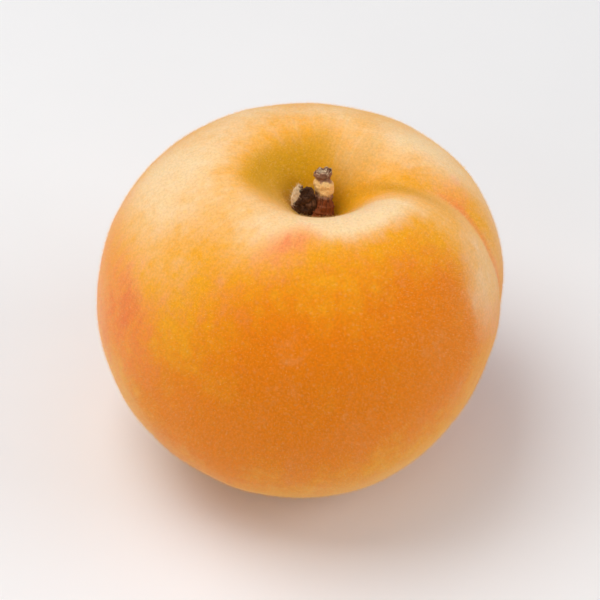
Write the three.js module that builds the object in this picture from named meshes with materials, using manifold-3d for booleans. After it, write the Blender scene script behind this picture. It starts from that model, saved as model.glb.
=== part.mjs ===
// A ripe yellow peach as it stands on its blossom end: the fruit, grown in one piece, and the
// woody stalk left in its hollow. Millimetres, +Z up. The origin is on the surface that the
// peach stands on, under the middle of its box. The suture runs down the side facing +X.
import * as THREE from "three";
import { mergeVertices } from "three/addons/utils/BufferGeometryUtils.js";
import Module from "manifold-3d";

const radians = THREE.MathUtils.degToRad;

// The plain body, measured from its middle
const equatorRadius = 34.9;
const stalkEndHalf = 31.3;
const blossomEndHalf = 31.9;
const squareness = 2.22; // 2 would be an ellipse
const lean = radians(7.5); // the stalk end leans towards +X
const flatSpotDepth = 0.4; // what resting has pressed flat

// Broad swellings of the flesh, in degrees and millimetres
const farCheek = { azimuth: 36, latitude: 28, height: 2.2, spread: 36 };
const lowCheek = { azimuth: -22, latitude: -24, height: -1.0, spread: 30 };
const leftCheek = { azimuth: 185, latitude: 12, height: 0.7, spread: 34 };
const nearShoulder = { azimuth: -30, latitude: 50, height: 0.6, spread: 15 };
const heel = { azimuth: 180, latitude: -74, height: 1.5, spread: 18 }; // it rests on this as well
const swellings = [farCheek, lowCheek, leftCheek, nearShoulder, heel];

// The hollow round the stalk, wider towards -X and +Y
const hollowDepth = 12.8;
const hollowHalfAngle = radians(17.6);
const hollowSteepness = 2.5;
const hollowShift = { x: -0.17, y: 0.15, oval: 0.03 };

// The suture, a furrow from the hollow down to the blossom end
const sutureDepth = { shoulder: 3.1, side: 0.4, blossom: 0.8 };
const sutureHalfWidth = { shoulder: 6.1, side: 2.6 };
const shoulder = { polar: radians(20), spread: radians(22) };
const sutureAzimuth = radians(-6); // on the side
const sutureBend = { by: radians(18), polar: radians(26), spread: radians(22) }; // towards +Y
const crease = { depth: 0.2, halfWidth: 1.2, sharpness: 1.3 }; // in the valley, only below the shoulder

// The blossom end: a shallow dent with the point that the style left
const dent = { depth: 1.5, halfAngle: radians(7.5) };
const point = { height: 0.9, halfAngle: radians(2.1) };
const blossomSpread = radians(20);

// The stalk, from its foot in the flesh to its broken end, in the fruit's own axes
const stalkPath = [
  [0.4, 0.0, 16.4],
  [0.6, 0.3, 19.6],
  [0.5, 1.3, 22.6],
  [0.1, 2.6, 25.4],
  [-0.4, 3.5, 27.5],
];
const stalkRadii = [1.9, 1.8, 1.5, 1.65, 1.35];
const stalkKnots = { depth: 0.12, around: 5, along: 9 };

// Dried bud scales in a ring under the stalk's broken end
const budScale = { count: 6, length: 1.9, width: 1.7, thickness: 0.8, splay: radians(10) };
const budScaleAt = { along: 0.93, out: 1.15, stagger: 0.3 };

// A flake of torn bark that stands beside the stalk
const flakePath = [
  [-1.3, 0.0, 17.2],
  [-2.4, 0.2, 20.4],
  [-3.2, 0.8, 23.4],
  [-3.4, 1.6, 25.8],
];
const flakeHalfWidths = [1.8, 2.1, 2.0, 1.2];
const flakeHalfThicknesses = [0.9, 0.9, 0.7, 0.45];
const socketGap = 0.3; // between the stalk and the flesh that grips it

// Fineness of the faceted solids
const fruitSectors = 72;
const fruitRings = 50;
const sutureCrowding = 0.45; // sectors crowd towards the suture
const poleCrowding = 0.06; // rings crowd towards both ends
const stalkSides = 16;
const stalkSteps = 20;
const budScaleSides = 10;
const budScaleRings = 8;

const wasm = await Module();
wasm.setup();

const bell = (distance, spread) => Math.exp(-((distance / spread) ** 2));

function direction(polar, azimuth) {
  const across = Math.sin(polar);
  return new THREE.Vector3(across * Math.cos(azimuth), across * Math.sin(azimuth), Math.cos(polar));
}

function bodyRadius(polar) {
  const up = Math.cos(polar);
  const half = THREE.MathUtils.lerp(blossomEndHalf, stalkEndHalf, (1 + up) / 2);
  const sideways = (Math.sin(polar) / equatorRadius) ** squareness;
  const upright = (Math.abs(up) / half) ** squareness;
  return (sideways + upright) ** (-1 / squareness);
}

function swelling(towards) {
  return swellings.reduce((sum, s) => {
    const top = direction(radians(90 - s.latitude), radians(s.azimuth));
    return sum + s.height * bell(towards.angleTo(top), radians(s.spread));
  }, 0);
}

function sutureCut(polar, azimuth, radius) {
  const line = sutureAzimuth + sutureBend.by * bell(polar - sutureBend.polar, sutureBend.spread);
  const turn = THREE.MathUtils.euclideanModulo(azimuth - line + Math.PI, 2 * Math.PI) - Math.PI;
  const aside = radius * Math.sin(polar) * turn;
  const onShoulder = bell(polar - shoulder.polar, shoulder.spread);
  const atBlossom = bell(Math.PI - polar, blossomSpread);
  const depth =
    sutureDepth.side +
    (sutureDepth.shoulder - sutureDepth.side) * onShoulder +
    (sutureDepth.blossom - sutureDepth.side) * atBlossom;
  const { side, shoulder: wide } = sutureHalfWidth;
  const valley = depth * bell(aside, THREE.MathUtils.lerp(side, wide, onShoulder));
  const fold = Math.exp(-((Math.abs(aside) / crease.halfWidth) ** crease.sharpness));
  const furrow = valley + crease.depth * (1 - onShoulder) * fold;
  const fadeAtHollow = 1 - bell(polar, hollowHalfAngle / 2);
  const fadeAtBlossom = 1 - bell(Math.PI - polar, dent.halfAngle / 2);
  const thisSide = Math.cos(turn / 2) ** 2;
  return furrow * fadeAtHollow * fadeAtBlossom * thisSide;
}

function hollowCut(polar, azimuth) {
  const reach =
    1 +
    hollowShift.x * Math.cos(azimuth) +
    hollowShift.y * Math.sin(azimuth) +
    hollowShift.oval * Math.cos(2 * azimuth);
  return hollowDepth * Math.exp(-((polar / (hollowHalfAngle * reach)) ** hollowSteepness));
}

function blossomEnd(polar) {
  const fromEnd = Math.PI - polar;
  return point.height * bell(fromEnd, point.halfAngle) - dent.depth * bell(fromEnd, dent.halfAngle);
}

// A point of the fruit's skin, in the fruit's own axes
function skinPoint(polar, azimuth) {
  const towards = direction(polar, azimuth);
  let radius = bodyRadius(polar) + swelling(towards);
  radius -= sutureCut(polar, azimuth, radius);
  radius -= hollowCut(polar, azimuth);
  radius += blossomEnd(polar);
  return towards.multiplyScalar(radius);
}

function fruitGeometry() {
  const geometry = new THREE.SphereGeometry(1, fruitSectors, fruitRings);
  const { position, uv } = geometry.attributes;
  const whole = 2 * Math.PI;
  for (let i = 0; i < position.count; i++) {
    const round = uv.getX(i);
    const down = 1 - uv.getY(i);
    const azimuth = whole * round - sutureCrowding * Math.sin(whole * round);
    const polar = Math.PI * (down - poleCrowding * Math.sin(whole * down));
    position.setXYZ(i, ...skinPoint(polar, azimuth).toArray());
  }
  return geometry;
}

// A closed rod along a path, oval in section, with a size that changes from knot to knot
function rod(path, halfWidths, halfThicknesses, roughness = () => 1) {
  const line = new THREE.CatmullRomCurve3(path.map((p) => new THREE.Vector3(...p)));
  const sizeAt = (sizes, t) => {
    const place = t * (sizes.length - 1);
    const low = Math.min(Math.floor(place), sizes.length - 2);
    return THREE.MathUtils.lerp(sizes[low], sizes[low + 1], place - low);
  };
  const geometry = new THREE.CylinderGeometry(1, 1, 1, stalkSides, stalkSteps);
  const { position } = geometry.attributes;
  for (let i = 0; i < position.count; i++) {
    const t = position.getY(i) + 0.5;
    const angle = Math.atan2(position.getZ(i), position.getX(i));
    const forward = line.getTangent(t);
    const across = new THREE.Vector3(1, 0, 0).projectOnPlane(forward).normalize();
    const outward = new THREE.Vector3().crossVectors(across, forward);
    const rough = roughness(t, angle);
    const place = line
      .getPoint(t)
      .addScaledVector(across, position.getX(i) * sizeAt(halfWidths, t) * rough)
      .addScaledVector(outward, position.getZ(i) * sizeAt(halfThicknesses, t) * rough);
    position.setXYZ(i, ...place.toArray());
  }
  return geometry;
}

function knotted(t, angle) {
  const wave = Math.sin(stalkKnots.around * angle + stalkKnots.along * t);
  return 1 + stalkKnots.depth * wave * Math.sin(Math.PI * t);
}

function budScaleGeometry(index) {
  const line = new THREE.CatmullRomCurve3(stalkPath.map((p) => new THREE.Vector3(...p)));
  const around = (2 * Math.PI * index) / budScale.count;
  const geometry = new THREE.SphereGeometry(1, budScaleSides, budScaleRings);
  geometry.rotateX(Math.PI / 2);
  geometry.scale(budScale.thickness / 2, budScale.width / 2, budScale.length / 2);
  geometry.rotateY(budScale.splay);
  geometry.translate(budScaleAt.out, 0, index % 2 ? 0 : budScaleAt.stagger);
  geometry.rotateZ(around);
  const upright = new THREE.Vector3(0, 0, 1);
  geometry.applyQuaternion(
    new THREE.Quaternion().setFromUnitVectors(upright, line.getTangent(budScaleAt.along)),
  );
  return geometry.translate(...line.getPoint(budScaleAt.along).toArray());
}

function toSolid(geometry) {
  const bare = geometry.clone();
  bare.deleteAttribute("normal");
  bare.deleteAttribute("uv");
  const merged = mergeVertices(bare, 1e-4);
  const vertProperties = merged.attributes.position.array;
  return new wasm.Manifold(
    new wasm.Mesh({ numProp: 3, vertProperties, triVerts: new Uint32Array(merged.index.array) }),
  );
}

function toGeometry(solid) {
  const { vertProperties, triVerts } = solid.getMesh();
  return new THREE.BufferGeometry()
    .setAttribute("position", new THREE.BufferAttribute(vertProperties, 3))
    .setIndex(new THREE.BufferAttribute(triVerts, 1));
}

function stalkSolid() {
  let stalk = toSolid(rod(stalkPath, stalkRadii, stalkRadii, knotted));
  stalk = stalk.add(toSolid(rod(flakePath, flakeHalfWidths, flakeHalfThicknesses)));
  for (let i = 0; i < budScale.count; i++) stalk = stalk.add(toSolid(budScaleGeometry(i)));
  return stalk;
}

// The room that the flesh leaves for the stalk and the flake
function socketSolid() {
  const wider = (sizes) => sizes.map((size) => size + socketGap);
  const lower = (path) => [[path[0][0], path[0][1], path[0][2] - socketGap], ...path.slice(1)];
  const room = toSolid(rod(lower(stalkPath), wider(stalkRadii), wider(stalkRadii), knotted));
  const flakeRoom = rod(lower(flakePath), wider(flakeHalfWidths), wider(flakeHalfThicknesses));
  return room.add(toSolid(flakeRoom));
}

// Leans the grown shapes as the peach stands, then trims the fruit flat where it rests
function stand() {
  const fruit = toGeometry(toSolid(fruitGeometry()).subtract(socketSolid())).rotateY(lean);
  const stalk = toGeometry(stalkSolid()).rotateY(lean);
  fruit.computeBoundingBox();
  const middle = fruit.boundingBox.getCenter(new THREE.Vector3());
  const lift = -(fruit.boundingBox.min.z + flatSpotDepth);
  for (const geometry of [fruit, stalk]) geometry.translate(-middle.x, -middle.y, lift);
  const wide = 4 * equatorRadius;
  const ground = new THREE.BoxGeometry(wide, wide, wide).translate(0, 0, -wide / 2);
  return { fruit: toGeometry(toSolid(fruit).subtract(toSolid(ground))), stalk };
}

function piece(name, geometry, color, roughness) {
  const mesh = new THREE.Mesh(
    geometry,
    new THREE.MeshStandardMaterial({ color, roughness, metalness: 0, flatShading: true }),
  );
  mesh.name = name;
  return mesh;
}

const peach = new THREE.Group();
const standing = stand();
peach.add(piece("peach_fruit", standing.fruit, 0xf0a03c, 0.65));
peach.add(piece("peach_stalk", standing.stalk, 0x7a5030, 0.85));

export default peach;
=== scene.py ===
# A ripe yellow peach on a pale table: the fruit's skin, the down that covers it, and the broken
# woody stalk in the hollow on top. Metres, +Z up. The suture runs down the side facing +X.
import math

import bpy
import numpy as np
from mathutils import Matrix, Vector


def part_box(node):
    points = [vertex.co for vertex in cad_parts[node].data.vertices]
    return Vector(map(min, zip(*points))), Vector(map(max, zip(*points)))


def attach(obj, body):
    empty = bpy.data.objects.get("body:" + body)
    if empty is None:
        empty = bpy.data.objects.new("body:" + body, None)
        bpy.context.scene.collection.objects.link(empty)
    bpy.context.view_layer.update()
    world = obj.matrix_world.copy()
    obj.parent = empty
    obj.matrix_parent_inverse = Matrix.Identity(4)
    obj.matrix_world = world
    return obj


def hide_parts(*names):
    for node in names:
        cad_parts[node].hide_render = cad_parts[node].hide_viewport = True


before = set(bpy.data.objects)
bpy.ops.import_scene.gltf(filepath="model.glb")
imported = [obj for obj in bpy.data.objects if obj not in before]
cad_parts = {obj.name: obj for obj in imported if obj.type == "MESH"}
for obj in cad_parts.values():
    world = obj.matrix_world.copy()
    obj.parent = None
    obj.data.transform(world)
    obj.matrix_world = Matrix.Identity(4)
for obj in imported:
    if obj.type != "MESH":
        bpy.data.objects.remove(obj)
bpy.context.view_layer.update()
fruitLow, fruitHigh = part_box("peach_fruit")
print("frame loaded:", ", ".join(sorted(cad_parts)))

mm = 0.001
whole = 2 * math.pi
rad = math.radians


# Shapes by formula
def bell(distance, spread):
    return np.exp(-((distance / spread) ** 2))


def smoothStep(value, low, high):
    share = np.clip((value - low) / (high - low), 0, 1)
    return share * share * (3 - 2 * share)


def band(polar, at, spread):  # round the fruit's axis, with the last two in degrees
    return bell(polar - rad(at), rad(spread))


def polarStep(polar, limits):
    low, high = limits
    return smoothStep(polar, rad(low), rad(high))


def direction(polar, azimuth):
    across = np.sin(polar)
    return np.stack([across * np.cos(azimuth), across * np.sin(azimuth), np.cos(polar)], axis=-1)


def waves(places, length, seed, count=28, uneven=(0.75, 1.3)):  # ups and downs about one length apart
    random = np.random.default_rng(seed)
    ways = random.normal(size=(count, 3))
    ways *= whole / length / np.linalg.norm(ways, axis=1, keepdims=True)
    ways *= random.uniform(*uneven, (count, 1))
    phases = random.uniform(0, whole, count)
    return np.cos(places @ ways.T + phases).sum(axis=-1) * math.sqrt(2 / count)


def lumpy(places, parts, base=0):  # parts hold a height, a length and a seed
    return sum((height * waves(places, length, seed) for height, length, seed in parts), base)


def ridged(places, length, seed, width=0.34):  # 1 along thin winding lines, 0 elsewhere
    return bell(waves(places, length, seed), width)


def ripples(angle, parts, base=0):  # parts hold a height, a number of turns and a start
    return sum((height * np.sin(turns * angle + start) for height, turns, start in parts), base)


def closedGrid(rings, sides):  # faces of rings of points, with one point more at each end
    ring, side = np.meshgrid(np.arange(rings - 1), np.arange(sides), indexing="ij")
    after = (side + 1) % sides
    quads = np.stack([ring * sides + side, (ring + 1) * sides + side,
                      (ring + 1) * sides + after, ring * sides + after], axis=-1).reshape(-1, 4)
    first, last = rings * sides, rings * sides + 1
    around = np.arange(sides)
    nextRound = (around + 1) % sides
    bottom = (rings - 1) * sides
    faces = quads.tolist()
    faces += [[first, int(a), int(b)] for a, b in zip(around, nextRound)]
    faces += [[last, int(bottom + b), int(bottom + a)] for a, b in zip(around, nextRound)]
    return faces


def addPiece(name, points, faces, material, marks=None):
    mesh = bpy.data.meshes.new(name)
    mesh.from_pydata(points, [], faces)
    mesh.shade_smooth()
    for markName, values in (marks or {}).items():
        kind, field = ("FLOAT_VECTOR", "vector") if values.ndim == 2 else ("FLOAT", "value")
        layer = mesh.attributes.new(markName, kind, "POINT")
        layer.data.foreach_set(field, np.ascontiguousarray(values, np.float32).ravel())
    mesh.materials.append(material)
    piece = bpy.data.objects.new(name, mesh)
    bpy.context.collection.objects.link(piece)
    return piece


# Node building
def addNode(tree, kind, **settings):
    made = tree.nodes.new(kind)
    for name, value in settings.items():
        setattr(made, name, value)
    return made


def feed(tree, socket, value):  # a socket takes a link, a number or a colour
    if isinstance(value, bpy.types.NodeSocket):
        tree.links.new(value, socket)
    elif hasattr(socket.default_value, "__len__") and len(socket.default_value) == 4:
        socket.default_value = (*value, 1)
    else:
        socket.default_value = value


def mixColour(tree, share, below, above):  # the mix node has its colours on sockets 6, 7 and 2
    made = addNode(tree, "ShaderNodeMix", data_type="RGBA")
    feed(tree, made.inputs[0], share)
    feed(tree, made.inputs[6], below)
    feed(tree, made.inputs[7], above)
    return made.outputs[2]


def maths(tree, operation, first, second):
    made = addNode(tree, "ShaderNodeMath", operation=operation)
    feed(tree, made.inputs[0], first)
    feed(tree, made.inputs[1], second)
    return made.outputs[0]


def stretch(tree, value, low, high, toLow=0.0, toHigh=1.0):
    made = addNode(tree, "ShaderNodeMapRange", interpolation_type="SMOOTHSTEP")
    for place, number in enumerate((value, low, high, toLow, toHigh)):
        feed(tree, made.inputs[place], number)
    return made.outputs[0]


def noise(tree, vector, scale, detail, roughness):
    made = addNode(tree, "ShaderNodeTexNoise")
    feed(tree, made.inputs["Vector"], vector)
    feed(tree, made.inputs["Scale"], scale)
    feed(tree, made.inputs["Detail"], detail)
    feed(tree, made.inputs["Roughness"], roughness)
    return made.outputs["Fac"]


def allNoises(tree, vector, kinds):
    return {name: noise(tree, vector, *kind) for name, kind in kinds.items()}


def mark(tree, name, output="Fac"):  # what addPiece stored on the mesh
    return addNode(tree, "ShaderNodeAttribute", attribute_name=name).outputs[output]


def newMaterial(name):
    material = bpy.data.materials.new(name)
    material.use_nodes = True
    tree = material.node_tree
    return material, tree, tree.nodes["Principled BSDF"]


def objectPlace(tree):
    return addNode(tree, "ShaderNodeTexCoord").outputs["Object"]


def setConstants(shader, values):
    for name, value in values.items():
        shader.inputs[name].default_value = value


def layered(tree, colour, look, noises):  # each layer goes over those before it
    for tone, where, share, edge, fray in look["layers"]:
        shown = mark(tree, where)
        for name, weight in fray.items():
            away = maths(tree, "SUBTRACT", noises[name], 0.5)
            shown = maths(tree, "ADD", shown, maths(tree, "MULTIPLY", away, weight))
        if edge:
            shown = stretch(tree, shown, *edge)
        colour = mixColour(tree, maths(tree, "MULTIPLY", shown, share), colour, look["tones"][tone])
    return colour


def finishSurface(tree, shader, colour, look, noises):
    tint = addNode(tree, "ShaderNodeHueSaturation")
    feed(tree, tint.inputs["Color"], colour)
    feed(tree, tint.inputs["Value"], stretch(tree, noises["fine"], *look["shade"]))
    tree.links.new(tint.outputs[0], shader.inputs["Base Color"])
    roughness = stretch(tree, noises[look["roughnessFrom"]], *look["roughness"])
    tree.links.new(roughness, shader.inputs["Roughness"])
    height = 0.0
    for name, weight in look["relief"].items():
        height = maths(tree, "ADD", height, maths(tree, "MULTIPLY", noises[name], weight))
    bump = addNode(tree, "ShaderNodeBump")
    feed(tree, bump.inputs["Height"], height)
    for name, value in look["bump"].items():
        feed(tree, bump.inputs[name], value)
    tree.links.new(bump.outputs[0], shader.inputs["Normal"])
    setConstants(shader, look["shader"])


# The fruit, in millimetres and degrees; polar angles start at the stalk end of its axis
fruit = {
    "equatorRadius": 34.9,
    "stalkEndHalf": 31.3,
    "blossomEndHalf": 31.9,
    "squareness": 2.22,
    "lean": 7.5,
    # azimuth, latitude, height and spread of each swelling
    "swellings": [(36, 28, 2.2, 36), (-22, -24, -1.0, 30), (185, 12, 0.7, 34), (-30, 50, 0.6, 15),
                  (180, -74, 1.5, 18)],
    "hollowDepth": 12.8,
    "hollowHalfAngle": 17.6,
    "hollowSteepness": 2.5,
    "hollowShift": (-0.17, 0.15, 0.03),  # wider towards +X, towards +Y, and along X, as shares
    "sutureDepth": (3.1, 0.4, 0.8),  # on the shoulder, the side and the blossom end
    "sutureHalfWidth": (6.1, 2.6),  # on the shoulder and the side
    "sutureAzimuth": -6,  # on the side
    "sutureBend": (18, 26, 22),  # by how much, polar and spread
    "shoulder": (20, 22),  # polar and spread
    "blossomSpread": 20,
    "crease": (0.2, 1.2, 1.3),  # depth, half width and bluntness, below the shoulder
    "creaseWaver": (0.35, 23, 9, 1),  # by how much, its turns, its swells and where these start
    "dent": (1.5, 7.5),  # depth and spread, round the blossom end
    "point": (0.9, 2.1),  # height and spread, inside the dent
    "rings": 208,
    "sectors": 372,
    "crowding": (0.055, 0.45),  # of the rings at both ends, and of the sectors at the suture
    "lumps": [(0.06, 13.0, 11), (0.014, 5.0, 12), (0.006, 2.2, 13)],  # height, length and seed
    # the small folds round the stalk; sway is by how much and how often they lean
    "tucks": {"count": 19, "height": 0.11, "polar": 8.5, "spread": 4.2, "sway": (1.6, 3), "twist": 9},
    "collar": (0.45, 5.6, 1.7),  # height, polar and spread of the rim that grips the stalk
    "foldsStart": (0, 3),  # polar, for tucks and collar
    "pressed": 0.3,  # how softly the flat spot rounds off
}


def swelling(towards):
    total = 0
    for azimuth, latitude, height, spread in fruit["swellings"]:
        top = direction(rad(90 - latitude), rad(azimuth))
        total = total + height * bell(np.arccos(np.clip(towards @ top, -1, 1)), rad(spread))
    return total


def fromSuture(polar, azimuth, radius):  # millimetres round the fruit, and the turn in radians
    by, at, spread = fruit["sutureBend"]
    line = rad(fruit["sutureAzimuth"]) + rad(by) * band(polar, at, spread)
    turn = (azimuth - line + math.pi) % whole - math.pi
    return radius * np.sin(polar) * turn, turn


def sutureCut(polar, azimuth, radius):
    aside, turn = fromSuture(polar, azimuth, radius)
    by, turns, swells, start = fruit["creaseWaver"]
    waver = by * np.sin(polar * turns) * np.sin(polar * swells + start)
    shoulder = band(polar, *fruit["shoulder"])
    top, side, blossom = fruit["sutureDepth"]
    atBlossom = bell(math.pi - polar, rad(fruit["blossomSpread"]))
    depth = side + (top - side) * shoulder + (blossom - side) * atBlossom
    wideTop, wideSide = fruit["sutureHalfWidth"]
    valley = depth * bell(aside, wideSide + (wideTop - wideSide) * shoulder)
    creaseDepth, creaseHalf, bluntness = fruit["crease"]
    fold = np.exp(-((np.abs(aside + waver * (1 - shoulder)) / creaseHalf) ** bluntness))
    fade = 1 - bell(polar, rad(fruit["hollowHalfAngle"]) / 2)
    fade = fade * (1 - bell(math.pi - polar, rad(fruit["dent"][1]) / 2))
    return (valley + creaseDepth * (1 - shoulder) * fold) * fade * np.cos(turn / 2) ** 2


def hollowCut(polar, azimuth):
    byX, byY, oval = fruit["hollowShift"]
    reach = 1 + byX * np.cos(azimuth) + byY * np.sin(azimuth) + oval * np.cos(2 * azimuth)
    within = polar / (rad(fruit["hollowHalfAngle"]) * reach)
    return fruit["hollowDepth"] * np.exp(-(within ** fruit["hollowSteepness"]))


def foldsRoundStalk(polar, azimuth):
    tucks = fruit["tucks"]
    sway, often = tucks["sway"]
    turns = tucks["count"] * azimuth + sway * np.sin(often * azimuth) + tucks["twist"] * polar
    folds = tucks["height"] * np.cos(turns) * band(polar, tucks["polar"], tucks["spread"])
    height, at, spread = fruit["collar"]
    return (folds + height * band(polar, at, spread)) * polarStep(polar, fruit["foldsStart"])


def skinRadius(polar, azimuth):
    towards = direction(polar, azimuth)
    up = np.cos(polar)
    half = fruit["blossomEndHalf"] + (fruit["stalkEndHalf"] - fruit["blossomEndHalf"]) * (1 + up) / 2
    power = fruit["squareness"]
    radius = (np.sin(polar) / fruit["equatorRadius"]) ** power + (np.abs(up) / half) ** power
    radius = radius ** (-1 / power) + swelling(towards)
    radius = radius - sutureCut(polar, azimuth, radius) - hollowCut(polar, azimuth)
    radius = radius + foldsRoundStalk(polar, azimuth)
    fromEnd = math.pi - polar
    dentDepth, dentHalf = fruit["dent"]
    pointHeight, pointHalf = fruit["point"]
    radius = radius + pointHeight * bell(fromEnd, rad(pointHalf)) - dentDepth * bell(fromEnd, rad(dentHalf))
    return lumpy(towards * fruit["equatorRadius"], fruit["lumps"], radius)


def leaning(points):  # the stalk end leans towards +X
    turn = rad(fruit["lean"])
    x, y, z = np.moveaxis(points, -1, 0)
    return np.stack([x * math.cos(turn) + z * math.sin(turn), y,
                     z * math.cos(turn) - x * math.sin(turn)], axis=-1)


def skinGrid():
    rings, sectors = fruit["rings"], fruit["sectors"]
    atEnds, atSuture = fruit["crowding"]
    down = np.arange(1, rings + 1) / (rings + 1)
    polar = math.pi * (down - atEnds * np.sin(whole * down))
    around = np.arange(sectors) / sectors
    azimuth = whole * around - atSuture * np.sin(whole * around)
    polar, azimuth = (a.ravel() for a in np.meshgrid(polar, azimuth, indexing="ij"))
    polar = np.append(polar, [0, math.pi])
    return polar, np.append(azimuth, [0, 0])


skinPolar, skinAzimuth = skinGrid()
skinTowards = direction(skinPolar, skinAzimuth)
skinPoints = leaning(skinTowards * skinRadius(skinPolar, skinAzimuth)[:, None]) * mm
low, high = skinPoints.min(axis=0), skinPoints.max(axis=0)
boxMiddle = (np.array(fruitLow) + np.array(fruitHigh)) / 2
bodyMiddle = boxMiddle - (low + high) / 2  # where the middle of the fruit's axes comes to be
bodyMiddle[2] = fruitHigh.z - high[2]
skinPoints += bodyMiddle
soft = fruit["pressed"] * mm
skinPoints[:, 2] = (skinPoints[:, 2] + np.sqrt(skinPoints[:, 2] ** 2 + soft ** 2)) / 2
skinPoints[:, 2] -= skinPoints[:, 2].min() - fruitLow.z
print(f"skin shaped: {len(skinPoints)} points, middle at {np.round(bodyMiddle / mm, 2)} mm")


# How the skin looks
skinLook = {
    # where the colours lie on the fruit: azimuth, latitude, spread and strength
    "places": {
        # The pale cream is partly the fruit's paler ground colour round the top, and partly painted
        # highlight and sheen on the lip, the ridge beside the suture and the upper rims
        "creamAndHighlight": [(168, 42, 21, 1.0), (190, 33, 15, 0.2), (122, 48, 13, 0.65), (83, 56, 11, 0.6),
                  (36, 54, 14.5, 0.9), (22, 40, 9, 0.4), (250, 69, 7.5, 0.45), (268, 70, 7, 0.8),
                  (288, 70, 7, 0.8), (308, 70, 7, 0.72), (327, 68, 6, 0.6), (343, 64, 6, 0.45),
                  (342, 56, 6, 0.25), (344, 49, 8, 0.2), (347, 38, 11, 0.4), (333, 31, 8, 0.3),
                  (345, 24, 13, 0.5), (228, 60, 12, 0.75), (208, 24, 12, 0.2), (214, 32, 10, 0.14),
                  (200, 55, 8, 0.08), (15, 22, 14, 0.45), (70, 20, 30, 0.4), (339, 72, 5, 0.4),
                  (60, 72, 7, 0.38), (172, 66, 6, -0.15), (18, 58, 7, -0.3)],
        # The deeper orange low on the sides is partly the fruit's own colour and partly painted shade where
        # less light falls
        "deepAndShade": [(285, 17, 36, 1.0), (315, 30, 20, 0.8), (250, 33, 18, 0.38), (235, -12, 32, 0.9),
                 (20, -10, 45, 0.8), (120, -15, 60, 0.7)],
        # The olive tint in and behind the stalk hollow is partly the fruit's greenish colour there and
        # partly painted shade on the hollow's walls
        "oliveAndShade": [(150, 71, 9, 0.45), (177, 66, 8, 0.35), (110, 69, 9, 0.2), (88, 64, 7, 0.22),
                  (48, 65, 8, 0.29)],
        "blush": [(196, 6, 24, 0.55), (168, -12, 34, 0.7), (212, 12, 16, 0.3), (256, 63, 6, 0.6),
                  (245, 57, 7, 0.5), (238, 51, 7, 0.35), (8, 46, 9, 0.55), (345, 20, 13, 0.4),
                  (14, 20, 14, 0.4), (60, -25, 26, 0.5), (87, 62, 5, 0.4), (216, 29, 10, 0.18)],
    },
    # what follows the shape: polar angles in degrees, and millimetres beside the suture's line
    "bands": {
        "furrow": {"half": 1.5, "start": (30, 48)},
        # The valley band is painted shade along the suture's valley, just behind the near ridge
        # line is how far beside the suture it starts, and how far it drifts over the angles of bend
        "valley": {"half": 2.0, "line": (3.8, 7.8), "bend": (10, 34), "polar": 24, "spread": 13},
        "cork": {"polar": 6.2, "spread": 1.3},
        "downStart": (6, 21),
        "downHeight": (1.2, 3),  # millimetres above the floor
        "streakDrift": 0.12,  # less makes the streaks longer
    },
    "tones": {
        # pale cream ground colour, also used as painted highlight
        "creamAndHighlight": (0.96, 0.72, 0.43),
        "golden": (0.9, 0.385, 0.01),
        # darker brown-orange: painted shade in the suture's valley
        "valley": (0.64, 0.29, 0.008),
        "orange": (0.85, 0.225, 0.0),
        "oliveAndShade": (0.6, 0.3, 0.002),
        "coral": (0.93, 0.22, 0.045),
        "red": (0.68, 0.06, 0.02),
        "cork": (0.3, 0.13, 0.03),
        "speck": (0.95, 0.66, 0.3),
    },
    # scale, detail and roughness of each noise; the second group runs along the meridians
    "noises": {"broad": (95, 3, 0.55), "mottle": (520, 3, 0.6), "fine": (2400, 2, 0.6)},
    "streaks": {"streaks": (13, 4, 0.65), "fineStreaks": (42, 3, 0.6)},
    # tone, mark, share, where the edge starts and is full, and how far each noise frays it
    "layers": [
        # deeper orange low down: the fruit's own colour and painted shade
        ("orange", "deepAndShade", 1.0, (0.1, 1.0), {"broad": 0.9, "mottle": 0.7, "streaks": 0.3}),
        # pale cream over the top: ground colour and painted highlight
        ("creamAndHighlight", "creamAndHighlight", 0.9, (0.0, 1.1), {"broad": 0.7, "mottle": 0.5, "streaks": 0.4}),
        # painted shade along the suture's valley
        ("valley", "valley", 0.8, None, {}),
        # olive in the hollow, stronger where the hollow is deeper: greenish colour and painted shade
        ("oliveAndShade", "hollow", 0.85, (0.18, 0.75), {"broad": 0.3, "mottle": 0.15}),
        ("coral", "blush", 0.75, (0.2, 1.1), {"broad": 0.7, "streaks": 0.6, "mottle": 0.45}),
        ("red", "blush", 0.45, (0.7, 1.4), {"broad": 1.2, "fineStreaks": 0.8, "mottle": 0.6}),
        ("coral", "furrow", 0.5, (0.3, 1.1), {"mottle": 0.6, "broad": 0.4}),
        ("cork", "cork", 0.6, (0.3, 1.0), {"mottle": 0.5}),
    ],
    "specks": {"scale": 700, "edge": (0.1, 0.3), "share": 0.08},
    # the first two values of a noise become the last two of the shade or roughness
    "shade": (0.25, 0.75, 0.9, 1.06),
    "roughnessFrom": "mottle",
    "roughness": (0.3, 0.7, 0.5, 0.66),
    "relief": {"fine": 0.6, "mottle": 0.8},
    "bump": {"Strength": 0.5, "Distance": 0.1 * mm},
    "shader": {
        "Subsurface Weight": 0.22,
        "Subsurface Radius": (1.0, 0.36, 0.1),
        "Subsurface Scale": 3.5 * mm,
        "Sheen Weight": 0.45,
        "Sheen Roughness": 0.4,
        "Sheen Tint": (1.0, 0.86, 0.62, 1),
        "Specular IOR Level": 0.1,
    },
}


def placed(name):
    total = 0
    for azimuth, latitude, spread, strength in skinLook["places"][name]:
        middle = direction(rad(90 - latitude), rad(azimuth))
        total = total + strength * bell(np.arccos(np.clip(skinTowards @ middle, -1, 1)), rad(spread))
    return np.clip(total, 0, 1)


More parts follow.
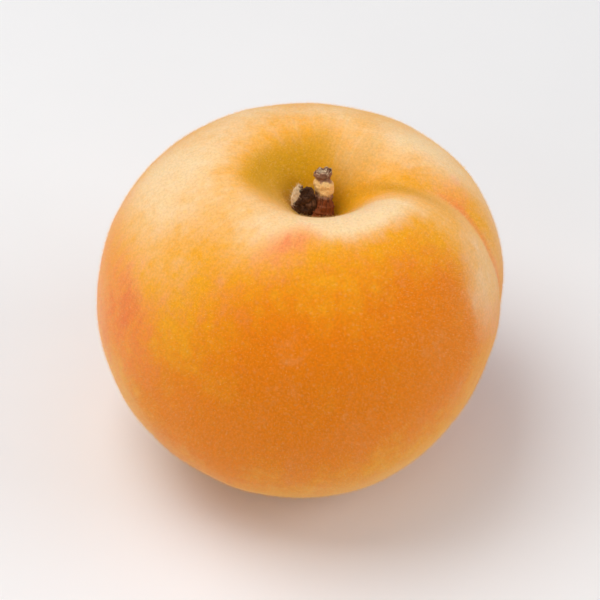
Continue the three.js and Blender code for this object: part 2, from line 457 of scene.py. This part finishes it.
def skinMarks():
    bands = skinLook["bands"]
    furrow, valley, cork = bands["furrow"], bands["valley"], bands["cork"]
    aside, _ = fromSuture(skinPolar, skinAzimuth, fruit["equatorRadius"])
    begin, by = valley["line"]
    fromLine = aside - (begin - by * polarStep(skinPolar, valley["bend"]))
    bare, covered = bands["downHeight"]
    aboveFloor = smoothStep(skinPoints[:, 2], bare * mm, covered * mm)
    lengthwise = skinPolar * bands["streakDrift"]
    return {
        "creamAndHighlight": placed("creamAndHighlight"),
        "deepAndShade": placed("deepAndShade"),
        "blush": placed("blush"),
        # the hollow's olive mark grows with the hollow's depth, as painted shade
        "hollow": hollowCut(skinPolar, skinAzimuth) / fruit["hollowDepth"] + placed("oliveAndShade"),
        "furrow": bell(aside, furrow["half"]) * polarStep(skinPolar, furrow["start"]),
        "valley": bell(fromLine, valley["half"]) * band(skinPolar, valley["polar"], valley["spread"]),
        "cork": band(skinPolar, cork["polar"], cork["spread"]),
        "meridian": np.stack([np.cos(skinAzimuth), np.sin(skinAzimuth), lengthwise], axis=-1),
        "downCover": aboveFloor * polarStep(skinPolar, bands["downStart"]),
    }


def skinMaterial():
    material, tree, shader = newMaterial("peach_skin")
    place = objectPlace(tree)
    noises = allNoises(tree, place, skinLook["noises"])
    noises.update(allNoises(tree, mark(tree, "meridian", "Vector"), skinLook["streaks"]))
    tones, specks = skinLook["tones"], skinLook["specks"]
    colour = layered(tree, tones["golden"], skinLook, noises)
    dots = addNode(tree, "ShaderNodeTexVoronoi")
    feed(tree, dots.inputs["Vector"], place)
    feed(tree, dots.inputs["Scale"], specks["scale"])
    speck = stretch(tree, dots.outputs["Distance"], *specks["edge"], 1, 0)
    colour = mixColour(tree, maths(tree, "MULTIPLY", speck, specks["share"]), colour, tones["speck"])
    finishSurface(tree, shader, colour, skinLook, noises)
    return material


skin = addPiece("peach_skin", skinPoints, closedGrid(fruit["rings"], fruit["sectors"]),
                skinMaterial(), skinMarks())
print(f"skin made: {len(skin.data.polygons)} faces")


# The down: short dense hairs and a few longer bent ones. Each seed makes a piece of one tone.
down = {
    "short": {
        "hairs": {"Per square metre": 3.0e6, "Length": 0.4 * mm, "Thickness": 0.018 * mm, "Bend": 0.0,
                  "Lean": 0.4, "Segments": 1},
        "seeds": {3: "golden", 4: "pale", 5: "amber"},
    },
    "long": {
        "hairs": {"Per square metre": 0.75e6, "Length": 0.7 * mm, "Thickness": 0.018 * mm,
                  "Bend": 0.2 * mm, "Lean": 0.4, "Segments": 3},
        "seeds": {8: "pale"},
    },
    "tones": {"golden": (0.97, 0.6, 0.2), "pale": (0.98, 0.72, 0.34), "amber": (0.93, 0.5, 0.13)},
    "shader": {"Roughness": 0.6, "Specular IOR Level": 0.3},
}
hairForm = {
    "inputs": {  # the kind of each, and its value until a piece sets its own
        "Geometry": ("Geometry", None),
        "Per square metre": ("Float", 1e6),
        "Length": ("Float", mm),
        "Thickness": ("Float", mm),
        "Bend": ("Float", 0.0),
        "Lean": ("Float", 0.5),
        "Segments": ("Int", 1),
        "Seed": ("Int", 1),
        "Material": ("Material", None),
    },
    "sides": 3,
    "bendPower": 2.0,
    "heights": (0.55, 1.25),  # the shortest and the tallest, as shares of the length
    "heightSeed": 40,  # added to the seed
}


def downMaterial(tone):
    material, _, shader = newMaterial(f"peach_down_{tone}")
    setConstants(shader, {"Base Color": (*down["tones"][tone], 1), **down["shader"]})
    return material


def hairTree(title, where):
    tree = bpy.data.node_groups.new(title, "GeometryNodeTree")
    for name, (kind, value) in hairForm["inputs"].items():
        made = tree.interface.new_socket(name, in_out="INPUT", socket_type="NodeSocket" + kind)
        if value is not None:
            made.default_value = value
    tree.interface.new_socket("Geometry", in_out="OUTPUT", socket_type="NodeSocketGeometry")
    given = addNode(tree, "NodeGroupInput").outputs
    cover = addNode(tree, "GeometryNodeInputNamedAttribute", data_type="FLOAT")
    cover.inputs["Name"].default_value = where
    density = maths(tree, "MULTIPLY", given["Per square metre"], cover.outputs["Attribute"])
    spread = addNode(tree, "GeometryNodeDistributePointsOnFaces")
    feed(tree, spread.inputs["Mesh"], given["Geometry"])
    feed(tree, spread.inputs["Density"], density)
    feed(tree, spread.inputs["Seed"], given["Seed"])

    # one hair: a thin cone, bent more towards its tip
    hair = addNode(tree, "GeometryNodeMeshCone", fill_type="NGON")
    feed(tree, hair.inputs["Vertices"], hairForm["sides"])
    feed(tree, hair.inputs["Side Segments"], given["Segments"])
    feed(tree, hair.inputs["Radius Bottom"], maths(tree, "MULTIPLY", given["Thickness"], 0.5))
    feed(tree, hair.inputs["Radius Top"], 0)
    feed(tree, hair.inputs["Depth"], given["Length"])
    at = addNode(tree, "GeometryNodeInputPosition").outputs[0]
    parts = addNode(tree, "ShaderNodeSeparateXYZ")
    tree.links.new(at, parts.inputs[0])
    along = maths(tree, "DIVIDE", parts.outputs["Z"], given["Length"])
    bend = maths(tree, "POWER", along, hairForm["bendPower"])
    offset = addNode(tree, "ShaderNodeCombineXYZ")
    feed(tree, offset.inputs["X"], maths(tree, "MULTIPLY", bend, given["Bend"]))
    bent = addNode(tree, "GeometryNodeSetPosition")
    feed(tree, bent.inputs["Geometry"], hair.outputs["Mesh"])
    tree.links.new(offset.outputs[0], bent.inputs["Offset"])

    # each hair leans its own way off the surface and has its own height
    toss = addNode(tree, "FunctionNodeRandomValue", data_type="FLOAT_VECTOR")
    toss.inputs["Min"].default_value = (-1, -1, -1)
    toss.inputs["Max"].default_value = (1, 1, 1)
    feed(tree, toss.inputs["Seed"], given["Seed"])
    leaned = addNode(tree, "ShaderNodeVectorMath", operation="MULTIPLY_ADD")
    tree.links.new(toss.outputs["Value"], leaned.inputs[0])
    tree.links.new(given["Lean"], leaned.inputs[1])
    tree.links.new(spread.outputs["Normal"], leaned.inputs[2])
    stand = addNode(tree, "FunctionNodeAlignRotationToVector", axis="Z")
    tree.links.new(leaned.outputs[0], stand.inputs["Vector"])
    tall = addNode(tree, "FunctionNodeRandomValue", data_type="FLOAT")
    limits = [socket for socket in tall.inputs if socket.enabled and socket.type == "VALUE"]
    for socket, value in zip(limits, hairForm["heights"]):
        socket.default_value = value
    feed(tree, tall.inputs["Seed"], maths(tree, "ADD", given["Seed"], hairForm["heightSeed"]))
    size = addNode(tree, "ShaderNodeCombineXYZ")
    feed(tree, size.inputs["X"], 1.0)
    feed(tree, size.inputs["Y"], 1.0)
    tree.links.new([socket for socket in tall.outputs if socket.enabled][0], size.inputs["Z"])

    copies = addNode(tree, "GeometryNodeInstanceOnPoints")
    tree.links.new(spread.outputs["Points"], copies.inputs["Points"])
    tree.links.new(bent.outputs[0], copies.inputs["Instance"])
    tree.links.new(stand.outputs[0], copies.inputs["Rotation"])
    tree.links.new(size.outputs[0], copies.inputs["Scale"])
    real = addNode(tree, "GeometryNodeRealizeInstances")
    tree.links.new(copies.outputs[0], real.inputs[0])
    wear = addNode(tree, "GeometryNodeSetMaterial")
    tree.links.new(given["Material"], wear.inputs["Material"])
    tree.links.new(real.outputs[0], wear.inputs["Geometry"])
    tree.links.new(wear.outputs[0], addNode(tree, "NodeGroupOutput").inputs[0])
    return tree


def growHairs(base, tree, name, hairs, seed, material):
    carrier = base.copy()
    carrier.data = base.data.copy()
    bpy.context.collection.objects.link(carrier)
    grown = carrier.modifiers.new("hairs", "NODES")
    grown.node_group = tree
    sockets = {item.name: item.identifier for item in tree.interface.items_tree
               if item.in_out == "INPUT"}
    for label, value in {**hairs, "Seed": seed, "Material": material}.items():
        grown[sockets[label]] = value
    graph = bpy.context.evaluated_depsgraph_get()
    mesh = bpy.data.meshes.new_from_object(carrier.evaluated_get(graph))
    carrier.modifiers.remove(grown)
    bpy.data.objects.remove(carrier)
    mesh.name = name
    piece = bpy.data.objects.new(name, mesh)
    bpy.context.collection.objects.link(piece)
    print(f"{name}: {len(mesh.polygons)} faces")
    return piece


downPieces = []
downHairs = hairTree("down on the skin", "downCover")
for kindName in ("short", "long"):
    kind = down[kindName]
    for number, (seed, tone) in enumerate(kind["seeds"].items(), 1):
        name = f"peach_down_{kindName}_{number}"
        downPieces.append(growHairs(skin, downHairs, name, kind["hairs"], seed, downMaterial(tone)))


# The stalk and what is torn and dried on it, in the fruit's own axes and millimetres.
# Places along run from 0 at the foot to 1 at the broken end.
stalk = {
    "path": [(0.4, 0.0, 16.4), (0.6, 0.3, 19.6), (0.5, 1.3, 22.6), (0.1, 2.6, 25.4), (-0.4, 3.5, 27.5)],
    "radii": [(0, 1.85), (0.25, 1.8), (0.5, 1.5), (0.6, 1.45), (0.66, 1.6), (0.73, 1.72), (0.8, 1.55),
              (0.86, 1.25), (0.93, 1.3), (1, 1.25)],  # at each place along the path
    # rings that close the ends: place along, and share of the radius
    "brokenEnd": [(0.966, 0.15), (0.968, 0.38), (0.974, 0.58), (0.984, 0.74), (0.995, 0.86), (1.0, 0.94),
                  (1.0, 1.0)],
    "footEnd": [(0, 0.93), (0, 0.7), (0, 0.35)],
    "span": (0.993, 0.01),  # of the rings between
    "rings": 120,
    "sides": 76,
    "outOfRound": [(0.05, 2, 5), (0.04, 3, -9)],  # share, bulges round, turns along
    "scars": [(0.36, 0.14), (0.45, 0.1), (0.57, 0.12), (0.86, 0.12)],  # place along, height
    "scarSpread": 0.012,
    "scarSway": [(0.008, 2, 0)],
    "notches": [(0.5, 3, 1), (0.3, 7, 0), (0.25, 13, 2)],  # of the broken rim
    "notchHeight": 0.55,
    "rimShare": (0.6, 0.9),  # the rim starts and is full at these shares of the radius
    "rimAlong": (0.93, 1.0),
    # The pale worn band is bark rubbed off, made bright as a painted highlight on the stalk's side
    "wornAndHighlight": {"at": 0.73, "spread": 0.1, "sway": [(0.03, 1, 2.4)], "bluntness": 0.8},  # bark rubbed off
    "grain": 3.4,  # less draws the furrows out longer
    "furrows": {"length": 1.3, "seed": 31},
    "fineFurrows": {"length": 0.55, "seed": 32},
    "furrowDepth": 0.2,
    "fineShare": 0.3,
    "wornShare": 0.8,  # what wear takes off the furrows
    "lumps": [(0.07, 1.9, 33), (0.03, 0.7, 34)],  # height, length and seed
    "reliefShare": (0.5, 1),  # shares of the radius where furrows and lumps start and are full
    "pith": [(0.1, 0.5, 35)],  # lumps of the broken end
    "pithShare": (0.5, 0.95),
    "pithFrom": 0.5,
    "footTone": (0.45, 0.68),  # the reddish foot is full below the first and gone above the second
    "torn": {"from": 0.9, "strength": 0.6, "share": (0.8, 0.97)},
}
budScales = {
    "at": 0.92,  # along the stalk
    "outer": {"count": 7, "out": 1.15, "length": 1.5, "width": 0.95, "splay": 10, "start": 0.2,
              "seed": 50},
    "inner": {"count": 5, "out": 0.6, "length": 1.4, "width": 0.7, "splay": -4, "start": 0.9, "seed": 60},
    # least and most of each scale's own length, width, tilt and twist
    "uneven": ([0.8, 0.85, -7, -9], [1.12, 1.12, 9, 9]),
    "span": (0.995, 0.0),
    "rings": 26,
    "sides": 20,
    "thickness": 0.14,
    "thinner": (0.5, 0.75),  # by these shares at the edges and the tip
    "widening": (-0.5, 0.3),  # places along between which it grows wide
    "tip": (3.2, 0.8),  # how late and how bluntly it narrows
    "curl": 2.4,  # less curls the edges in more
    "belly": 0.35,
    "flare": (0.22, 4),  # how far the tip turns out, and how late
    "crinkle": (0.045, 11, 3),  # height, and waves along and across
    "rooted": 0.42,  # the share of its length that lies below its place
    "paperySides": (0.7, 1),
    "paperyTip": (0.72, 0.97),
    "veins": {"across": 2, "along": 0.3, "length": 0.5, "depth": 0.7},
}
flake = {
    "path": [(-1.3, 0.0, 17.2), (-2.4, 0.2, 20.4), (-3.2, 0.8, 23.4), (-3.4, 1.6, 25.8)],
    "halfWidths": [1.6, 2.1, 2.15, 1.55],
    "halfThickness": 0.34,
    "thinner": (0.6, 3),  # by this share at the torn end, and how late
    "cup": 0.75,  # how far the edges curl forward
    "forward": 0.25,
    "jag": (0.17, 5),  # how far down the torn end is notched, and how late
    "teeth": [(0.2, 4, 1), (0.2, 13, 0), (0.16, 27, 2)],
    "teethBase": 0.5,
    "fallAway": 0.3,  # of the torn end, at both sides
    "tornEnd": [(1.0, 0.4), (1.0, 0.8)],
    "footEnd": [(0.0, 0.8), (0.0, 0.4)],
    "span": (0.995, 0.005),
    "rings": 100,
    "sides": 64,
    "grain": [1.0, 1.0, 0.28],
    "furrows": {"length": 0.9, "seed": 41},
    "fineFurrows": {"length": 0.4, "seed": 43},
    "furrowDepth": 0.2,
    "fineDepth": 0.08,
    "lumps": [(0.12, 1.6, 42)],
    # where pale torn wood shows: from these places along, and on this side of the middle
    "tearAlong": (0.78, 0.95),
    "tearAcross": (-0.1, 0.5),
    "tearLean": 0.35,
    "tearUneven": [(0.09, 1.1, 44)],
    "tearFray": 2,
    "tornFurrows": 0.6,  # what the tear takes off the furrows
    # how near-black the flake is away from its torn end
    "blackShare": 0.66,
}
fibres = {
    "hairs": {"Per square metre": 9e6, "Length": 0.75 * mm, "Thickness": 0.085 * mm, "Bend": 0.25 * mm,
              "Lean": 0.7, "Segments": 3},
    "seed": 6,
}


def pathAt(knots, along):  # a smooth line through the knots, with its own three axes
    spots = np.linspace(0, 1, len(knots))
    fits = [np.polyfit(spots, [knot[axis] for knot in knots], len(knots) - 1) for axis in range(3)]
    place = np.stack([np.polyval(fit, along) for fit in fits], axis=-1)
    forward = np.stack([np.polyval(np.polyder(fit), along) for fit in fits], axis=-1)
    forward /= np.linalg.norm(forward, axis=-1, keepdims=True)
    across = np.array([1.0, 0.0, 0.0]) - forward * forward[..., :1]
    across /= np.linalg.norm(across, axis=-1, keepdims=True)
    return place, across, np.cross(forward, across), forward


def ringPlaces(first, last, span, count):  # full rings between those that close the two ends
    full = [(along, 1) for along in np.linspace(*span, count)]
    return np.array([*first, *full, *last]).T


def ringed(alongs, shares, sides):  # one value a point: rings from the top down, then both ends
    angles = whole * np.arange(sides) / sides
    along, angle = (a.ravel() for a in np.meshgrid(alongs, angles, indexing="ij"))
    share = np.repeat(shares, sides)
    along = np.append(along, [alongs[0], alongs[-1]])
    return along, np.append(angle, [0, 0]), np.append(share, [0, 0])


def onFruit(points):
    return leaning(points) * mm + bodyMiddle


def stalkBody():
    alongs, shares = ringPlaces(stalk["brokenEnd"], stalk["footEnd"], stalk["span"], stalk["rings"])
    along, angle, share = ringed(alongs, shares, stalk["sides"])
    rim = smoothStep(share, *stalk["rimShare"]) * smoothStep(along, *stalk["rimAlong"])
    place, across, sideways, forward = pathAt(stalk["path"], along)
    place = place + forward * (rim * stalk["notchHeight"] * ripples(angle, stalk["notches"]))[:, None]
    outward = across * np.cos(angle)[:, None] + sideways * np.sin(angle)[:, None]
    spots, radii = zip(*stalk["radii"])
    radius = np.interp(along, spots, radii)
    sway = ripples(angle, stalk["scarSway"])
    for at, height in stalk["scars"]:
        radius = radius + height * bell(along - at - sway, stalk["scarSpread"])
    bulges = [(height, count, turns * along) for height, count, turns in stalk["outOfRound"]]
    radius = radius * ripples(angle, bulges, 1)
    wear = stalk["wornAndHighlight"]
    wornAndHighlight = bell(along - wear["at"] + ripples(angle, wear["sway"]), wear["spread"]) ** wear["bluntness"]
    stretched = np.stack([radius * np.cos(angle), radius * np.sin(angle), along * stalk["grain"]], axis=-1)
    furrow = ridged(stretched, **stalk["furrows"]) * (1 - stalk["wornShare"] * wornAndHighlight)
    fineFurrow = ridged(stretched, **stalk["fineFurrows"])
    points = place + outward * (radius * share)[:, None]
    relief = lumpy(points, stalk["lumps"])
    relief = relief - stalk["furrowDepth"] * (furrow + stalk["fineShare"] * fineFurrow)
    points = points + outward * (relief * smoothStep(share, *stalk["reliefShare"]))[:, None]
    pith = 1 - smoothStep(share, *stalk["pithShare"])
    points = points + forward * (lumpy(points, stalk["pith"]) * pith * (along > stalk["pithFrom"]))[:, None]
    torn = stalk["torn"]
    tearing = torn["strength"] - torn["strength"] * smoothStep(share, *torn["share"])
    return onFruit(points), closedGrid(len(alongs), stalk["sides"]), {
        "wornAndHighlight": wornAndHighlight, "foot": 1 - smoothStep(along, *stalk["footTone"]), "furrow": furrow,
        "torn": np.where(along > torn["from"], tearing, 0.0)}


def budScale(kind, turn, seed):
    random = np.random.default_rng(seed)
    longer, wider, tilt, twist = random.uniform(*budScales["uneven"])
    alongs = np.linspace(*budScales["span"], budScales["rings"])
    along, angle, _ = ringed(alongs, np.ones(len(alongs)), budScales["sides"])
    late, blunt = budScales["tip"]
    half = kind["width"] * wider * smoothStep(along, *budScales["widening"]) * (1 - along ** late) ** blunt
    aside = half * np.sin(angle)
    thinEdge, thinTip = budScales["thinner"]
    thick = budScales["thickness"] * (1 - thinEdge * np.abs(np.sin(angle))) * (1 - thinTip * along ** 2)
    out = thick * np.cos(angle) - aside ** 2 / (budScales["curl"] * kind["out"])
    flare, flareLate = budScales["flare"]
    out += budScales["belly"] * np.sin(math.pi * along) + flare * along ** flareLate
    crinkle, wavesAlong, wavesAcross = budScales["crinkle"]
    out += crinkle * np.sin(wavesAlong * along + wavesAcross * np.sin(angle) + seed)
    up = (along - budScales["rooted"]) * kind["length"] * longer
    splay = rad(kind["splay"] + tilt)
    out, up = out * math.cos(splay) + up * math.sin(splay), up * math.cos(splay) - out * math.sin(splay)
    turn = turn + rad(twist)
    place, across, sideways, forward = pathAt(stalk["path"], np.array(budScales["at"]))
    outward = across * math.cos(turn) + sideways * math.sin(turn)
    onward = sideways * math.cos(turn) - across * math.sin(turn)
    points = place + outward * (out + kind["out"])[:, None] + onward * aside[:, None]
    points = points + forward * up[:, None]
    edge = np.maximum(smoothStep(np.abs(np.sin(angle)), *budScales["paperySides"]),
                      smoothStep(along, *budScales["paperyTip"]))
    veins = budScales["veins"]
    drawn = np.stack([aside * veins["across"], out, up * veins["along"]], axis=-1)
    marks = {"papery": edge, "furrow": ridged(drawn, veins["length"], seed) * veins["depth"]}
    return onFruit(points), closedGrid(len(alongs), budScales["sides"]), marks


def joined(parts):
    points, faces, marks = [], [], {}
    for places, itsFaces, itsMarks in parts:
        start = sum(len(done) for done in points)
        points.append(places)
        faces += [[start + corner for corner in face] for face in itsFaces]
        for name, values in itsMarks.items():
            marks.setdefault(name, []).append(values)
    return np.concatenate(points), faces, {name: np.concatenate(kept) for name, kept in marks.items()}


def allBudScales():
    made = []
    for kind in (budScales["outer"], budScales["inner"]):
        for number in range(kind["count"]):
            turn = whole * number / kind["count"] + kind["start"]
            made.append(budScale(kind, turn, kind["seed"] + number))
    return joined(made)


def barkFlake():
    alongs, shares = ringPlaces(flake["tornEnd"], flake["footEnd"], flake["span"], flake["rings"])
    along, angle, share = ringed(alongs, shares, flake["sides"])
    across = np.cos(angle) * share
    jag, jagLate = flake["jag"]
    notch = ripples(across, flake["teeth"], flake["teethBase"]) + flake["fallAway"] * across ** 2
    along = along - jag * notch * along ** jagLate
    place, sideAxis, frontAxis, _ = pathAt(flake["path"], along)
    widths = flake["halfWidths"]
    half = np.interp(along, np.linspace(0, 1, len(widths)), widths)
    thinner, thinLate = flake["thinner"]
    thick = flake["halfThickness"] * (1 - thinner * along ** thinLate)
    inward = thick * np.sin(angle) * share - flake["cup"] * across ** 2 + flake["forward"]
    points = place + sideAxis * (half * across)[:, None] + frontAxis * inward[:, None]
    stretched = points * flake["grain"]
    furrow = ridged(stretched, **flake["furrows"])
    relief = lumpy(points, flake["lumps"]) - flake["furrowDepth"] * furrow
    relief = relief - flake["fineDepth"] * ridged(stretched, **flake["fineFurrows"])
    points = points + frontAxis * (relief * np.sin(angle) * share)[:, None]
    uneven = lumpy(points, flake["tearUneven"])
    tear = smoothStep(along - flake["tearLean"] * across + uneven, *flake["tearAlong"])
    tear = tear * smoothStep(flake["tearFray"] * uneven - across, *flake["tearAcross"])
    # the flake is near-black except where the wood is torn
    return onFruit(points), closedGrid(len(alongs), flake["sides"]), {
        "torn": tear, "furrow": furrow * (1 - flake["tornFurrows"] * tear),
        "nearBlack": flake["blackShare"] * (1 - tear)}


stalkLook = {
    "tones": {
        "bark": (0.34, 0.16, 0.085),
        # pale tan of worn bark, bright as a painted highlight
        "wornAndHighlight": (0.95, 0.6, 0.23),
        "foot": (0.24, 0.06, 0.014),
        "nearBlack": (0.055, 0.022, 0.009),
        "furrow": (0.035, 0.014, 0.008),
        "papery": (0.56, 0.38, 0.24),
        "torn": (0.94, 0.76, 0.5),
    },
    "noises": {"blotch": (900, 4, 0.6), "fine": (5200, 3, 0.65)},  # scale, detail and roughness
    "blotches": {"tone": 0.62, "edge": (0.35, 0.7)},  # darker bark, as a share of the bark's tone
    "layers": [  # as in skinLook
        ("foot", "foot", 1.0, (0.3, 0.8), {"blotch": 0.8}),
        # near-black over the flake, away from its torn end
        ("nearBlack", "nearBlack", 1.0, (0.2, 0.8), {"blotch": 0.9}),
        # pale tan band: worn bark and painted highlight
        ("wornAndHighlight", "wornAndHighlight", 1.0, (0.25, 0.7), {"blotch": 1.1}),
        ("papery", "papery", 1.0, (0.45, 1.0), {"blotch": 0.9}),
        ("torn", "torn", 1.0, (0.3, 0.8), {"blotch": 1.1}),
        ("furrow", "furrow", 0.8, (0.35, 0.95), {"blotch": 0.5}),
    ],
    "shade": (0.25, 0.75, 0.7, 1.2),
    "roughnessFrom": "blotch",
    "roughness": (0.3, 0.7, 0.62, 0.9),
    "relief": {"fine": 1.0},
    "bump": {"Strength": 0.7, "Distance": 0.06 * mm},
    "shader": {"Specular IOR Level": 0.3},
}


def stalkMaterial():
    material, tree, shader = newMaterial("stalk_wood")
    noises = allNoises(tree, objectPlace(tree), stalkLook["noises"])
    bark, blotches = stalkLook["tones"]["bark"], stalkLook["blotches"]
    darkBark = tuple(blotches["tone"] * part for part in bark)
    colour = mixColour(tree, stretch(tree, noises["blotch"], *blotches["edge"]), bark, darkBark)
    colour = layered(tree, colour, stalkLook, noises)
    finishSurface(tree, shader, colour, stalkLook, noises)
    return material


wood = stalkMaterial()
stalkPieces = []
for name, shaped in (("body", stalkBody()), ("bud_scales", allBudScales()), ("bark_flake", barkFlake())):
    points, faces, marks = shaped
    stalkPieces.append(addPiece(f"stalk_{name}", points, faces, wood, marks))
tornHairs = hairTree("fibres where the wood is torn", "torn")
for base in (stalkPieces[0], stalkPieces[2]):
    name = base.name + "_fibres"
    stalkPieces.append(growHairs(base, tornHairs, name, fibres["hairs"], fibres["seed"], wood))
print("stalk made:", sum(len(piece.data.polygons) for piece in stalkPieces), "faces")


# Camera, lights, floor and sky
view = {
    "elevation": 45,  # degrees that the camera looks down
    "distance": 0.632,  # to the fruit's middle
    "focalPixels": 1500,  # for a frame 600 pixels wide
    "fruitPixel": (362.8, 279.5),  # where that frame has the fruit's middle
    "closeness": 2.4,  # 1 shows the fruit as small as that frame does
    "frameWidth": 600,
    "sensorWidth": 36,
}


def makeCamera():
    half = view["frameWidth"] / 2
    across, below = view["fruitPixel"]
    towards = Vector(((across - half) / view["focalPixels"], (half - below) / view["focalPixels"], -1))
    towards.normalize()
    tilt = Matrix.Rotation(rad(90 - view["elevation"]), 3, "X")
    turn = Vector((0, 0, -1)).rotation_difference(towards).to_matrix()
    data = bpy.data.cameras.new("camera")
    data.sensor_width = view["sensorWidth"]
    data.lens = view["sensorWidth"] * view["focalPixels"] * view["closeness"] / view["frameWidth"]
    camera = bpy.data.objects.new("camera", data)
    bpy.context.collection.objects.link(camera)
    away = Vector(bodyMiddle) - tilt @ towards * view["distance"]
    camera.matrix_world = Matrix.Translation(away) @ (tilt @ turn).to_4x4()
    bpy.context.scene.camera = camera


lights = {
    "overhead": {"at": (-0.24, 0.04, 0.60), "size": 0.42, "watts": 2.5, "colour": (1.0, 0.98, 0.95)},
    "front": {"at": (-0.42, -0.55, 0.40), "size": 0.5, "watts": 0.85, "colour": (1.0, 0.98, 0.96)},
    "right": {"at": (0.55, -0.10, 0.32), "size": 0.4, "watts": 1.2, "colour": (1.0, 0.98, 0.96)},
}


def makeLight(name, at, size, watts, colour):
    data = bpy.data.lights.new(name, "AREA")
    data.size = size
    data.energy = watts
    data.color = colour
    lamp = bpy.data.objects.new(name, data)
    bpy.context.collection.objects.link(lamp)
    lamp.location = at
    lamp.rotation_euler = (Vector(bodyMiddle) - Vector(at)).to_track_quat("-Z", "Y").to_euler()


floor = {
    "reach": 3.0,
    "noise": (9, 4, 0.6),  # scale, detail and roughness
    "tone": (0.2, 0.8, 0.87, 0.9),  # two values of the noise, and the tones that they become
    "tint": (0.985, 0.99, 1.0),
    "shader": {"Roughness": 0.75},
}


def makeFloor():
    material, tree, shader = newMaterial("floor_paint")
    tone = stretch(tree, noise(tree, objectPlace(tree), *floor["noise"]), *floor["tone"])
    colour = addNode(tree, "ShaderNodeCombineColor")
    for channel, share in enumerate(floor["tint"]):
        feed(tree, colour.inputs[channel], maths(tree, "MULTIPLY", tone, share))
    tree.links.new(colour.outputs[0], shader.inputs["Base Color"])
    setConstants(shader, floor["shader"])
    reach = floor["reach"]
    corners = [(-reach, -reach, 0), (reach, -reach, 0), (reach, reach, 0), (-reach, reach, 0)]
    addPiece("floor", corners, [(0, 1, 2, 3)], material)


sky = {"Color": (0.95, 0.96, 1.0, 1), "Strength": 0.38}


def makeSky():
    world = bpy.data.worlds.new("studio")
    world.use_nodes = True
    setConstants(world.node_tree.nodes["Background"], sky)
    bpy.context.scene.world = world
    bpy.context.scene.view_settings.view_transform = "Standard"


makeCamera()
for lightName, lightValues in lights.items():
    makeLight(lightName, **lightValues)
makeFloor()
makeSky()
print("camera, lights and floor set")

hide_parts("peach_fruit")
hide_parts("peach_stalk")
for piece in [skin, *downPieces]:
    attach(piece, "root")
for piece in stalkPieces:
    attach(piece, "root")
